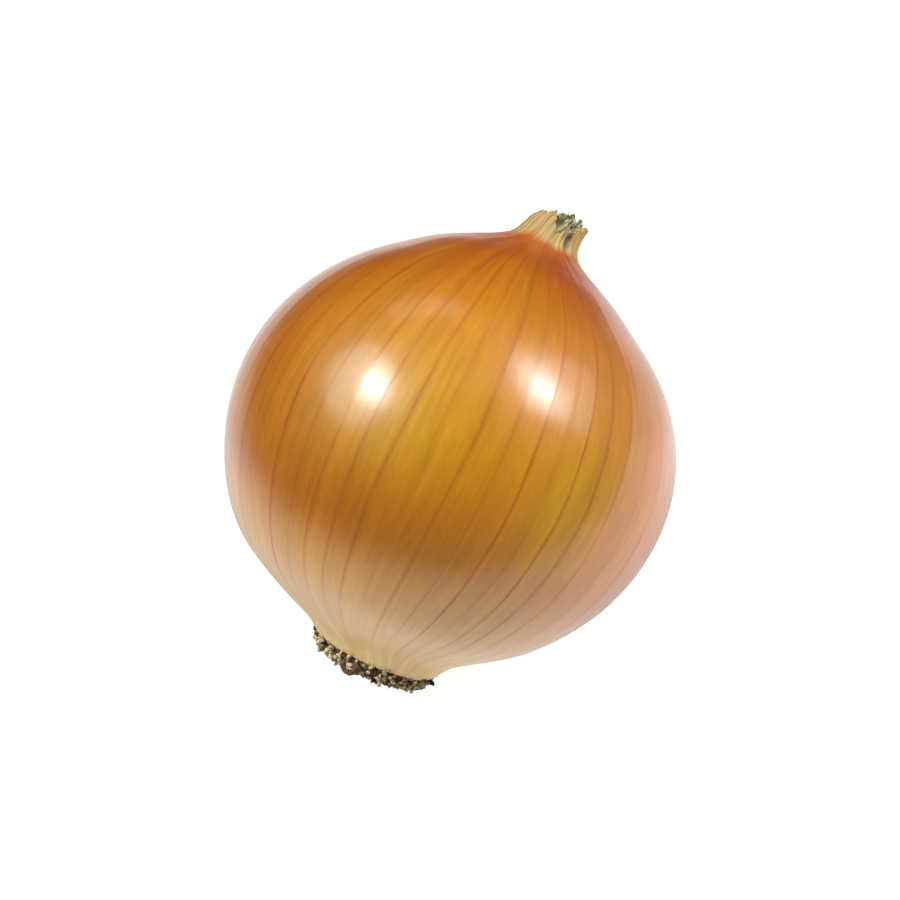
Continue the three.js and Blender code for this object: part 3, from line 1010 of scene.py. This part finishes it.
@dataclass
class RootPlate:
    """The dead plate at the bottom of the bulb, a low dome crowded with broken-off roots."""

    growth: Growth
    finish: DeadRootFinish = field(default_factory=DeadRootFinish)
    seed: int = 5
    dome: tuple[Pair, ...] = (
        (10.9, -38.9), (10.9, -39.8), (10.5, -40.8), (9.2, -41.6), (5.5, -42.1), (0.3, -42.2),
    )
    around: int = 120
    stubs: int = 620
    stub_radius: Pair = (0.22, 0.5)
    stub_length: Pair = (0.2, 0.95)
    long_stub_share: float = 0.14
    long_stub_extra: float = 0.8
    stub_lean: float = 0.3
    stub_bend: float = 0.22
    stub_tones: tuple[tuple[RootTone, float], ...] = (
        (RootTone.CREAM, 0.47), (RootTone.GREY_GREEN, 0.35), (RootTone.BROWN, 0.12),
        (RootTone.DARK, 0.06),
    )
    sunk: float = 0.7
    sides: int = 7
    fibres: int = 60
    fibre_length: Pair = (1.2, 2.6)
    fibre_radius: Pair = (0.08, 0.15)
    curl_longitude: float = math.radians(9)
    curl_reach: float = 10.7
    curl_height: float = -41.3
    curl_radius: float = 1.05
    curl_thickness: float = 0.6

    def surface(self, share: float) -> tuple[np.ndarray, np.ndarray]:
        """A place on the dome and the way that it faces.

        Args:
            share: share of the dome's area from its middle out to its rim.

        Returns:
            Radius and height, and the outward direction in radius and height.
        """
        line = spline_points(self.dome, 12)[::-1]
        step = np.diff(line, axis=0)
        middle = (line[1:] + line[:-1]) / 2
        area = np.cumsum(np.linalg.norm(step, axis=1) * middle[:, 0])
        at = min(int(np.searchsorted(area, share * area[-1])), len(step) - 1)
        ahead = step[at] / np.linalg.norm(step[at])
        return middle[at], np.array([ahead[1], -ahead[0]])

    def add_dome(self, bunch: Bunch, rng: np.random.Generator) -> None:
        """Adds the corky plate under the roots, knobbly and brown.

        Args:
            bunch: the bunch that it joins.
            rng: the source of its knobs.
        """
        outline = spline_points(self.dome, 4)
        outline = np.vstack([[10.4, -37.7], outline])
        longitude = np.linspace(0, 2 * math.pi, self.around, endpoint=False)
        knob = rng.normal(0, 0.1, (len(outline), self.around))
        knob[0] = 0
        rings = self.growth.round_axis(
            outline[:, :1] + knob, outline[:, 1:2] - np.abs(knob), longitude + 0 * knob)
        bunch.add(rings[::-1], np.full(len(outline), RootTone.BROWN.value))

    def add_stub(self, bunch: Bunch, rng: np.random.Generator, index: int) -> None:
        """Adds one broken root, placed like a sunflower's seed and nearly square to the dome.

        Args:
            bunch: the bunch that it joins.
            rng: the source of its irregularities.
            index: its number, counted from the middle of the dome.
        """
        foot, outward = self.surface((index + 0.5) / self.stubs)
        longitude = index * math.pi * (3 - math.sqrt(5)) + rng.normal(0, 0.03)
        lean = rng.normal(0, self.stub_lean)
        turn = np.array([[math.cos(lean), -math.sin(lean)], [math.sin(lean), math.cos(lean)]])
        outward = turn @ outward
        length = rng.uniform(*self.stub_length)
        if rng.random() < self.long_stub_share:
            length += self.long_stub_extra * rng.random()
        along = np.array([0.0, 0.35, 0.6, 0.8, 0.93, 1.0])
        out = -self.sunk + (length + self.sunk) * along
        bend = rng.normal(0, self.stub_bend, 2)
        path = np.stack([
            rng.normal(0, 0.1) + bend[0] * along**2,
            foot[1] + outward[1] * out,
            foot[0] + outward[0] * out + bend[1] * along**2,
        ], axis=1)
        thick = rng.uniform(*self.stub_radius)
        radii = thick * np.array([1.1, 1.0, 0.95, 1.0, 0.95, 0.75])
        flat = 0.28 * np.cos(2 * np.linspace(0, 2 * math.pi, self.sides, endpoint=False)
                             + rng.uniform(0, math.pi))
        knobs = flat + rng.normal(0, 0.2, (len(along), self.sides))
        tone = rng.choice([kind.value for kind, _ in self.stub_tones],
                          p=[share for _, share in self.stub_tones])
        # Each stub's lower half, down among its neighbours near the plate, is darkened: painted
        # shade.
        tones = np.clip(tone + rng.normal(0, 0.06) + 0.35 * (along < 0.5), 0, 1)
        rings = tube(turned(path, longitude), radii, self.sides, knobs)
        rings[-2:] += rng.normal(0, 0.1, (2, self.sides, 3))
        bunch.add(rings, tones)

    def add_fibre(self, bunch: Bunch, rng: np.random.Generator) -> None:
        """Adds one wiry thread of dead root, lying over the stubs.

        Args:
            bunch: the bunch that it joins.
            rng: the source of its place, length and curl.
        """
        share = rng.uniform(0.1, 0.98)
        foot, outward = self.surface(share)
        steps = 8
        along = np.linspace(0, 1, steps)
        length = rng.uniform(*self.fibre_length)
        heading, curl = rng.uniform(0, 2 * math.pi), rng.normal(0, 1.6)
        sideways = length * np.cumsum(np.cos(heading + curl * along)) / steps
        inwards = length * np.cumsum(np.sin(heading + curl * along)) / steps
        height = 0.1 + rng.uniform(0.3, 0.7) * np.sin(math.pi * along)
        path = np.stack([
            sideways,
            foot[1] + outward[1] * height + outward[0] * inwards,
            foot[0] + outward[0] * height - outward[1] * inwards,
        ], axis=1)
        tone = rng.uniform(RootTone.GREY_GREEN.value, RootTone.DARK.value)
        radii = np.full(steps, rng.uniform(*self.fibre_radius))
        path = turned(path, rng.uniform(0, 2 * math.pi))
        bunch.add(tube(path, radii, 5, np.zeros((steps, 5))), np.full(steps, tone))

    def add_curl(self, bunch: Bunch, rng: np.random.Generator) -> None:
        """Adds the thick root that curled up into a ring, with its pale cut end inside.

        Args:
            bunch: the bunch that it joins.
            rng: the source of its knobs.
        """
        steps = 28
        around = np.linspace(0.2, 2 * math.pi + 0.9, steps)
        spiral = self.curl_radius * np.linspace(1.1, 0.85, steps)
        path = np.stack([
            spiral * 1.2 * np.cos(around), self.curl_height + spiral * np.sin(around),
            self.curl_reach + np.linspace(0.1, 0.6, steps),
        ], axis=1)
        knobs = rng.normal(0, 0.08, (steps, 8))
        radii = self.curl_thickness * np.linspace(1.0, 0.75, steps)
        bunch.add(tube(turned(path, self.curl_longitude), radii, 8, knobs),
                  np.full(steps, RootTone.BROWN.value))
        core = np.array([[0, 0, -0.9], [0, 0, 0.1], [0, 0, 0.45], [0, 0, 0.55]], float)
        core += [0, self.curl_height, self.curl_reach]
        bunch.add(tube(turned(core, self.curl_longitude), np.array([0.9, 0.9, 0.75, 0.3]), 8,
                       np.zeros((4, 8))), np.full(4, RootTone.CUT_END.value))

    def build(self) -> bpy.types.Object:
        """Makes the plate with its stubs, fibres and curled root.

        Returns:
            The root plate, dressed.
        """
        rng = np.random.default_rng(self.seed)
        bunch = Bunch()
        self.add_dome(bunch, rng)
        for index in range(self.stubs):
            self.add_stub(bunch, rng, index)
        for _ in range(self.fibres):
            self.add_fibre(bunch, rng)
        self.add_curl(bunch, rng)
        plate = bunch.object("root_plate_and_stubs", self.growth, self.finish)
        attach(plate, "root")
        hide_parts("root_plate")
        LOG.info("root plate: %d stubs, %d faces", self.stubs, len(bunch.faces))
        return plate


def turned(path: np.ndarray, longitude: float) -> np.ndarray:
    """Turns points round the bulb's axis from longitude 0 to another.

    Args:
        path: an array of x, y and z in the bulb's frame.
        longitude: the wished longitude, in radians.

    Returns:
        The turned points.
    """
    sine, cosine = math.sin(longitude), math.cos(longitude)
    x, y, z = path[..., 0], path[..., 1], path[..., 2]
    return np.stack([x * cosine + z * sine, y, z * cosine - x * sine], axis=-1)


@dataclass(frozen=True)
class LeafRow:
    """A row of leaf ends: how many, how far out, how tall and wide, and which way they lean.

    It stands between two longitudes in degrees, all round the neck unless they are given.
    """

    count: int
    radius: float
    top: float
    width: float
    flare: float
    first: float = 0.0
    last: float = 360.0


@dataclass
class LeafEnds:
    """The dried ends of the leaves, cut off short in the open neck."""

    growth: Growth
    finish: DriedLeafFinish = field(default_factory=DriedLeafFinish)
    seed: int = 3
    foot: float = 38.2
    plug_radius: float = 3.5
    plug_top: float = 41.8
    rings: tuple[LeafRow, ...] = (
        LeafRow(9, 3.15, 44.1, 2.6, 0.4), LeafRow(9, 2.5, 44.6, 2.2, 0.5),
        LeafRow(8, 1.8, 45.0, 1.8, 0.5), LeafRow(6, 1.1, 45.0, 1.5, 0.5),
        LeafRow(3, 0.5, 44.8, 1.1, 0.4), LeafRow(12, 3.1, 45.0, 1.5, 1.2, 15, 130),
        LeafRow(12, 2.4, 45.5, 1.3, 1.4, 20, 125),
    )
    thickness: float = 0.26
    raggedness: float = 1.3
    flare_start: float = 43.5
    # The tone of a leaf end and the share of the leaf ends that have it.
    tones: tuple[Pair, ...] = ((0.05, 0.36), (0.25, 0.32), (0.4, 0.2), (0.8, 0.12))
    # The plug deep in the socket is dark: painted shade.
    plug_shade_tone: float = 0.85

    def add_plug(self, bunch: Bunch) -> None:
        """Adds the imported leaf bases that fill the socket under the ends.

        Args:
            bunch: the bunch that they join.
        """
        around = 40
        outline = np.array([(0.3, self.foot), (3.4, self.foot), (self.plug_radius, self.foot + 0.2),
                            (self.plug_radius, self.plug_top), (1.8, self.plug_top + 0.5),
                            (0.3, self.plug_top + 0.3)])
        longitude = np.linspace(0, 2 * math.pi, around, endpoint=False)
        height = outline[:, 1:2] + 0 * longitude
        radius = outline[:, :1] + 0 * longitude
        rings = self.growth.round_axis(radius, height, longitude + 0 * height)
        # Its dark tone is painted shade deep in the socket.
        bunch.add(rings, np.full(len(outline), self.plug_shade_tone))

    def add_leaf(self, bunch: Bunch, rng: np.random.Generator, row: LeafRow,
                 turn: float) -> None:
        """Adds one leaf end: a thin curved strip with a torn, crinkled top.

        Args:
            bunch: the bunch that it joins.
            rng: the source of its irregularities.
            row: the row that it stands in.
            turn: the leaf's longitude.
        """
        steps, across = 14, 8
        radius, width = row.radius, row.width
        top = row.top + rng.normal(0, 0.35)
        climb = np.linspace(0, 1, steps)[:, None]
        side = np.linspace(-1, 1, across)[None, :]
        notch = self.raggedness * np.clip(rng.normal(0.35, 0.4, across), 0, 1.2)[None, :]
        rise = self.foot + climb * (top - self.foot - notch * climb**2)
        lean = np.clip((rise - self.flare_start) / 2, 0, None)
        crinkle = 0.24 * np.sin(side * rng.uniform(3, 6) + climb * rng.uniform(2, 6)
                                + rng.uniform(0, 6)) * climb
        reach = radius + row.flare * lean * rng.uniform(0.0, 1.2) + crinkle
        angle = turn + side * width * (1 - 0.3 * climb**3) / 2 / max(radius, width)
        thick = self.thickness * (1 - 0.55 * climb)
        outer = self.growth.round_axis(reach + thick / 2, rise, angle + 0 * rise)
        inner = self.growth.round_axis(reach - thick / 2, rise, angle + 0 * rise)
        rings = np.concatenate([outer, inner[:, ::-1]], axis=1)
        base = rng.choice([tone for tone, _ in self.tones], p=[share for _, share in self.tones])
        # The lower part of each leaf end, down in the socket, is darkened: painted shade. The tips
        # turn a little browner.
        tone = np.clip(base + 0.15 * climb[:, 0] ** 4 + 0.6 * (climb[:, 0] < 0.6), 0, 1)
        bunch.add(rings, tone)

    def build(self) -> bpy.types.Object:
        """Makes the plug and the leaf ends in their rings.

        Returns:
            The leaf ends, dressed.
        """
        rng = np.random.default_rng(self.seed)
        bunch = Bunch()
        self.add_plug(bunch)
        for level, row in enumerate(self.rings):
            for i in range(row.count):
                share = (i + 0.5 * (level % 2) + rng.uniform(-0.3, 0.3)) / row.count
                turn = math.radians(row.first + (row.last - row.first) * share)
                self.add_leaf(bunch, rng, row, turn)
        ends = bunch.object("dried_leaf_ends", self.growth, self.finish)
        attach(ends, "root")
        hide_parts("neck_leaf_ends")
        LOG.info("leaf ends: %d faces", len(bunch.faces))
        return ends


class LampShape(Enum):
    """The outline of a lamp's face."""

    OVAL = "ELLIPSE"
    PANE = "RECTANGLE"


@dataclass(frozen=True)
class Lamp:
    """A flat light, placed by where its reflection falls on the bulb.

    Its spot is the pixel at which its reflection is wished on a ball of the bulb's silhouette.
    Its tilt is how many degrees the reflection's top leans to the left. Its distance from the
    bulb and its size are in metres. Glossy surfaces show it only if it is mirrored.
    """

    name: str
    spot: Pair
    tilt: float
    distance: float
    size: Pair
    radiance: float
    shape: LampShape = LampShape.OVAL
    mirrored: bool = True


@dataclass
class Studio:
    """A white table between two soft windows, and the camera at the photograph's angle."""

    growth: Growth
    camera_azimuth: float = math.radians(-55.3)
    camera_elevation: float = math.radians(42.0)
    camera_distance: float = 224.0
    lens: float = 50.0
    sensor: float = 36.0
    aim_pixels: Pair = (5.9, 4.8)
    silhouette: tuple[float, float, float] = (449.5, 452.0, 226.0)
    room_colour: str = "282624"
    backdrop_colour: str = "F4F3F1"

    # The table, in metres, and where the painted pool of light in its glow starts and is full, as
    # the skin mirrors it, with the painted shadow round the onion.
    table_radius: float = 3.0
    lit_left: Pair = (-0.26, -0.07)
    lit_front: Pair = (-0.19, -0.075)
    lit_back: Pair = (0.02, 0.08)
    lit_far: Pair = (0.42, 0.6)
    lit_slant: Pair = (0.3, 0.12)
    lit_radiance: float = 1.42
    back_share: float = 0.7
    far_share: float = 0.15
    shadow_reach: Pair = (0.025, 0.085)
    shadow_shape: Pair = (0.8, 1.2)
    shadow_middle: float = 0.018
    shadow_share: float = 0.35
    # The painted bounce glow that the table gives the onion, from its left to its right.
    bounce_radiance: Pair = (0.78, 1.45)
    bounce_reach: float = 0.12
    # The table as the camera sees it: its own white, and the faint shadow on it.
    seen_radiance: float = 0.93
    shaded_colour: str = "7F7F7F"

    lamps: tuple[Lamp, ...] = (
        Lamp("ceiling", (456.0, 352.0), 0, 0.75, (0.8, 0.8), 0.2),
        Lamp("left_lamp", (389.0, 394.0), 5, 0.55, (0.085, 0.135), 24),
        Lamp("left_shade", (388.0, 393.0), 5, 0.56, (0.2, 0.28), 8),
        Lamp("left_halo", (374.0, 392.0), 5, 0.57, (0.4, 0.48), 3.3),
        Lamp("left_fill", (396.0, 396.0), 0, 0.55, (0.3, 0.3), 2.5, mirrored=False),
        Lamp("right_window", (544.0, 386.0), 0, 0.58, (0.36, 0.38), 1.7, LampShape.PANE),
        Lamp("right_lamp", (532.0, 389.0), 22, 0.55, (0.07, 0.115), 18),
        Lamp("right_shade", (532.0, 388.0), 22, 0.56, (0.18, 0.26), 7),
        Lamp("right_halo", (532.0, 387.0), 22, 0.57, (0.28, 0.36), 2.6),
        Lamp("right_fill", (540.0, 400.0), 0, 0.55, (0.3, 0.3), 4.4, mirrored=False),
        Lamp("right_wall", (612.0, 410.0), 0, 0.6, (0.5, 0.8), 0.1, LampShape.PANE),
        Lamp("upper_window", (432.0, 314.0), 0, 0.6, (0.3, 0.14), 1.2, LampShape.PANE),
    )

    def view_axes(self) -> tuple[Vector, Vector, Vector]:
        """Gives the camera's own directions.

        Returns:
            Right, up and back towards the camera, in the world.
        """
        azimuth, elevation = self.camera_azimuth - math.pi / 2, self.camera_elevation
        back = Vector((math.cos(elevation) * math.cos(azimuth),
                       math.cos(elevation) * math.sin(azimuth), math.sin(elevation)))
        right = Vector((0, 0, 1)).cross(back).normalized()
        return right, back.cross(right), back

    def middle(self) -> Vector:
        """The middle of the bulb's silhouette, a little below the widest section, in metres."""
        return Vector((self.growth.origin() - self.growth.basis()[:, 1]) * MM)

    def add_camera(self) -> None:
        """Places the camera so that the bulb stands where the photograph has it."""
        right, up, back = self.view_axes()
        data = bpy.data.cameras.new("camera")
        data.lens, data.sensor_width, data.clip_start = self.lens, self.sensor, 0.01
        camera = bpy.data.objects.new("camera", data)
        pixel = self.camera_distance * self.sensor / self.lens / FRAME_PIXELS * MM
        place = self.middle() + back * self.camera_distance * MM
        aim = self.middle() - right * self.aim_pixels[0] * pixel + up * self.aim_pixels[1] * pixel
        camera.matrix_world = Matrix.Translation(place) @ (
            (aim - place).to_track_quat("-Z", "Y").to_matrix().to_4x4())
        bpy.context.scene.collection.objects.link(camera)
        bpy.context.scene.camera = camera

    def add_lamp(self, lamp: Lamp) -> None:
        """Adds a lamp that faces the bulb from where its reflection falls on its spot.

        Args:
            lamp: the lamp.
        """
        right, up, back = self.view_axes()
        x = (lamp.spot[0] - self.silhouette[0]) / self.silhouette[2]
        y = (self.silhouette[1] - lamp.spot[1]) / self.silhouette[2]
        facing = right * x + up * y + back * math.sqrt(1 - x * x - y * y)
        surface = self.middle() + facing * self.growth.bulb_radius * MM
        sight = (self.middle() + back * self.camera_distance * MM - surface).normalized()
        towards = (2 * facing.dot(sight) * facing - sight).normalized()
        lean = math.radians(lamp.tilt)
        across = right * math.cos(lean) + up * math.sin(lean)
        upright = towards.cross(across - facing * facing.dot(across)).normalized()
        turn = Matrix((upright.cross(towards), upright, towards)).transposed()
        data = bpy.data.lights.new(lamp.name, "AREA")
        data.shape, data.size, data.size_y = lamp.shape.value, lamp.size[0], lamp.size[1]
        filled = math.pi / 4 if lamp.shape is LampShape.OVAL else 1.0
        data.energy = lamp.radiance * math.pi * lamp.size[0] * lamp.size[1] * filled
        light = bpy.data.objects.new(lamp.name, data)
        light.matrix_world = (
            Matrix.Translation(surface + towards * lamp.distance) @ turn.to_4x4())
        light.visible_glossy = lamp.mirrored
        bpy.context.scene.collection.objects.link(light)

    def table_material(self) -> bpy.types.Material:
        """White laminate, over-exposed as the camera sees it. The skin's gloss sees a painted pool
        of light with a painted shadow round the onion, fading away with distance, and diffuse light
        sees a painted bounce glow.

        Returns:
            The material.
        """
        made, tree = new_material("white_table_laminate")
        place = add_node(tree, "TexCoord").outputs["Object"]
        right, _, back = self.view_axes()
        away = Vector((-back.x, -back.y, 0)).normalized()
        across, ahead, inside, beyond = (
            add_node(tree, "VectorMath", {"operation": "DOT_PRODUCT", "[1]": direction},
                     {"0": place}).outputs["Value"]
            for direction in (right, away, right + away * self.lit_slant[0],
                              away - right * self.lit_slant[1]))
        turned_place = add_node(tree, "CombineXYZ", links={"X": across, "Y": ahead})
        squeezed = add_node(tree, "VectorMath", {
            "operation": "MULTIPLY", "[1]": (self.shadow_shape[0], self.shadow_shape[1], 0.0),
        }, {"0": turned_place.outputs[0]}).outputs[0]
        near = add_node(tree, "VectorMath", {
            "operation": "DISTANCE", "[1]": (0.0, self.shadow_middle, 0.0)}, {"0": squeezed})
        # A painted pool of light, with a painted shadow round the onion, seen only in the skin's
        # gloss.
        strength = product(tree, *(
            remap(tree, value, span, onto, {"interpolation_type": "SMOOTHSTEP"})
            for value, span, onto in (
                (inside, self.lit_left, (0.0, 1.0)),
                (beyond, self.lit_front, (0.0, self.lit_radiance)),
                (beyond, self.lit_back, (1.0, self.back_share)),
                (beyond, self.lit_far, (1.0, self.far_share)),
                (near.outputs["Value"], self.shadow_reach, (self.shadow_share, 1.0)),
            )))
        mirrored = add_node(tree, "Emission", {"[Color]": hex_to_linear("FFFBF8")},
                            {"Strength": strength})
        white = add_node(tree, "Emission", {"[Color]": hex_to_linear("FFFFFF"),
                                            "[Strength]": self.seen_radiance})
        shaded = add_node(tree, "BsdfDiffuse", {"[Color]": hex_to_linear(self.shaded_colour)})
        seen = add_node(tree, "AddShader", links={"0": white.outputs[0], "1": shaded.outputs[0]})
        # A painted bounce glow, brighter to the right, that only diffuse light sees.
        bounce = remap(tree, across, (-self.bounce_reach, self.bounce_reach), self.bounce_radiance)
        bounced = add_node(tree, "Emission", {"[Color]": hex_to_linear("FFF9F2")},
                           {"Strength": bounce})
        path = add_node(tree, "LightPath").outputs
        indirect = add_node(tree, "MixShader", links={
            "0": path["Is Diffuse Ray"], "1": mirrored.outputs[0], "2": bounced.outputs[0]})
        both = add_node(tree, "MixShader", links={
            "0": path["Is Camera Ray"], "1": indirect.outputs[0], "2": seen.outputs[0]})
        add_node(tree, "OutputMaterial", links={"Surface": both.outputs[0]})
        return made

    def add_table(self) -> None:
        """Adds the table top that the onion rests on."""
        around = 64
        turn = np.linspace(0, 2 * math.pi, around, endpoint=False)
        points = np.stack([np.cos(turn), np.sin(turn), 0 * turn], 1) * self.table_radius
        mesh = bpy.data.meshes.new("table")
        mesh.from_pydata(points.tolist(), [], [tuple(range(around))])
        mesh.materials.append(self.table_material())
        table = bpy.data.objects.new("table", mesh)
        bpy.context.scene.collection.objects.link(table)

    def add_room(self) -> None:
        """A dim room all round, which the camera sees as a pale backdrop."""
        world = bpy.data.worlds.new("room")
        world.use_nodes = True
        tree = world.node_tree
        tree.nodes.clear()
        seen = add_node(tree, "LightPath").outputs["Is Camera Ray"]
        colour = add_node(tree, "Mix", {"data_type": "RGBA",
                                        "[6]": hex_to_linear(self.room_colour),
                                        "[7]": hex_to_linear(self.backdrop_colour)},
                          {"0": seen})
        air = add_node(tree, "Background", links={"Color": colour.outputs[2]})
        add_node(tree, "OutputWorld", links={"Surface": air.outputs[0]})
        bpy.context.scene.world = world

    def build(self) -> None:
        """Makes the camera, the table, the room and the lamps."""
        self.add_camera()
        self.add_table()
        self.add_room()
        for lamp in self.lamps:
            self.add_lamp(lamp)
        bpy.context.scene.view_settings.view_transform = "Standard"
        LOG.info("studio: camera, table and %d lamps", len(self.lamps))


def main() -> None:
    """Builds the onion's pieces round the frame, then the studio."""
    logging.basicConfig(level=logging.INFO, format="%(name)s: %(message)s")
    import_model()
    growth = Growth()
    Skin(growth).build()
    RootPlate(growth).build()
    LeafEnds(growth).build()
    Studio(growth).build()
    bpy.context.view_layer.update()


if __name__ == "__main__":
    main()
